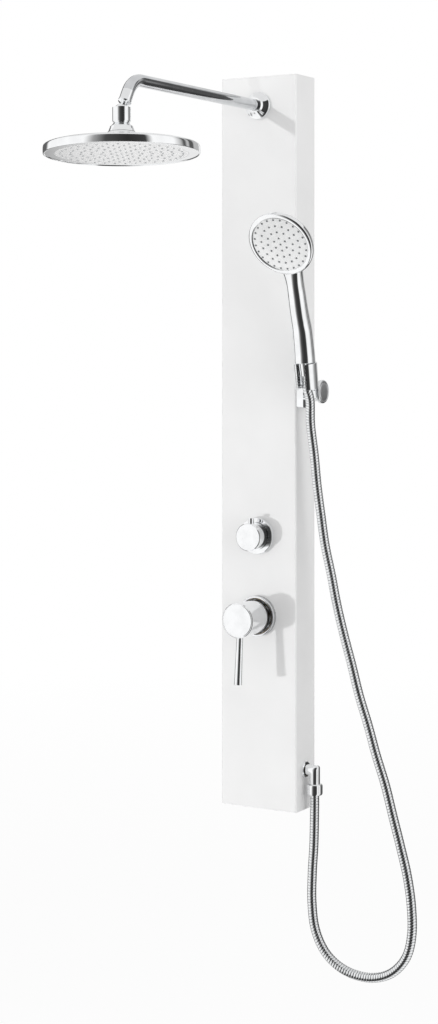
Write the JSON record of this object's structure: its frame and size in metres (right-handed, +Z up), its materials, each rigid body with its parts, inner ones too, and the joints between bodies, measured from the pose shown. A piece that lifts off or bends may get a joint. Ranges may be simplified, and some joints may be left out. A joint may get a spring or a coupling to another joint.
{
  "type": "shower column",
  "caption": "Slim wall shower panel with a swept arm and round rain head, single lever mixer, diverter knob, and a handset in a swivelling holder on a ribbed metal hose.",
  "frame": {"origin": "on the wall, in the middle of the four wall screws, which is the middle of the panel's height and width", "axes": "+X to the right as seen from the room, +Y into the wall, +Z up"},
  "size_m": [0.3872, 0.5892, 1.4615],
  "materials": {
    "panel_white": "white satin powder coat",
    "zinc_steel": "bright zinc plated sheet",
    "chrome": "polished chrome plate",
    "raw_brass": "machined, uncoated",
    "copper_pipe": "drawn pipe",
    "white_plate": "smooth white",
    "silver_plate": "smooth light silver",
    "grey_rubber": "soft moulded silicone",
    "black_rubber": "moulded seal",
    "seat_plastic": "low friction moulding",
    "cartridge_plastic": "moulded",
    "steel": "turned stainless steel",
    "hose_steel": "polished ribbed metal"
  },
  "bodies": {
    "column": {"panel_shell": "panel_white", "top_cap": "panel_white", "bottom_cap": "panel_white", "hook_rails": "zinc_steel", "wall_brackets": "zinc_steel", "arm_connector": "raw_brass", "arm_gasket": "black_rubber", "arm_lock_nut": "raw_brass", "arm_flange": "chrome", "shower_arm": "chrome", "arm_collar": "chrome", "ball_stud": "chrome", "mixer_body": "raw_brass", "mixer_cartridge": "cartridge_plastic", "cartridge_nut": "raw_brass", "mixer_lock_nut": "raw_brass", "mixer_rosette": "chrome", "diverter_body": "raw_brass", "diverter_cartridge": "cartridge_plastic", "diverter_lock_nut": "raw_brass", "diverter_rosette": "chrome", "warm_pipe": "copper_pipe", "riser_pipe": "copper_pipe", "outlet_pipe": "copper_pipe", "pipe_nuts": "raw_brass", "outlet_union": "raw_brass", "outlet_rosette": "chrome", "outlet_elbow": "chrome", "hose_nut": "chrome", "holder_base": "chrome", "holder_bolt": "steel", "shower_hose": "hose_steel"},
    "seat_low": {"ball_seat_lower": "seat_plastic"},
    "seat_high": {"ball_seat_upper": "seat_plastic"},
    "rain_head": {"swivel_nut": "chrome", "swivel_socket": "chrome", "head_shell": "chrome", "head_ring": "chrome", "head_face": "white_plate", "head_nozzles": "grey_rubber"},
    "mixer_driver": {"mixer_driver": "steel", "tilt_pin": "steel"},
    "mixer_grip": {"mixer_stem": "steel", "mixer_handle": "chrome", "mixer_cap": "chrome", "mixer_lever": "chrome", "grub_screw": "steel"},
    "diverter_grip": {"diverter_spindle": "steel", "diverter_knob": "chrome", "diverter_pin": "chrome"},
    "holder_arm": {"holder_cup": "chrome"},
    "holder_clamp": {"holder_knob": "chrome"},
    "handset": {"cone_nut": "chrome", "handset_body": "chrome", "handset_ring": "chrome", "handset_face": "silver_plate", "handset_nozzles": "grey_rubber"}
  },
  "joints": [
    {"name": "head_tilt_long", "type": "hinge", "parent": "column", "child": "seat_low", "pos_m": [0, -0.47094, 0.50204], "axis": [1, 0, 0], "range_deg": [-25, 10]},
    {"name": "head_tilt_cross", "type": "hinge", "parent": "seat_low", "child": "seat_high", "pos_m": [0, -0.47094, 0.50204], "axis": [0, 1, 0], "range_deg": [-10, 10]},
    {"name": "head_spin", "type": "hinge", "parent": "seat_high", "child": "rain_head", "pos_m": [0, -0.47094, 0.50204], "axis": [-0.0383, 0.0506, 0.998], "continuous": true},
    {"name": "mixer_turn", "type": "hinge", "parent": "column", "child": "mixer_driver", "pos_m": [0, -0.08, -0.2845], "axis": [0, -1, 0], "range_deg": [-45, 45]},
    {"name": "mixer_lift", "type": "hinge", "parent": "mixer_driver", "child": "mixer_grip", "pos_m": [0, -0.08, -0.2845], "axis": [-1, 0, 0], "range_deg": [0, 20]},
    {"name": "diverter_turn", "type": "hinge", "parent": "column", "child": "diverter_grip", "pos_m": [0, -0.08, -0.153], "axis": [0, -1, 0], "range_deg": [-90, 90]},
    {"name": "holder_swivel", "type": "hinge", "parent": "column", "child": "holder_arm", "pos_m": [0.093, -0.045, 0.084], "axis": [1, 0, 0], "range_deg": [-8, 20], "deforming": ["shower_hose"]},
    {"name": "holder_knob_turn", "type": "hinge", "parent": "holder_arm", "child": "holder_clamp", "pos_m": [0.108, -0.045, 0.084], "axis": [1, 0, 0], "range_deg": [0, 180]},
    {"name": "handset_lift", "type": "slide", "parent": "holder_arm", "child": "handset", "axis": [0, -0.1736, 0.9848], "range_m": [0, 0.045], "deforming": ["shower_hose"]}
  ]
}
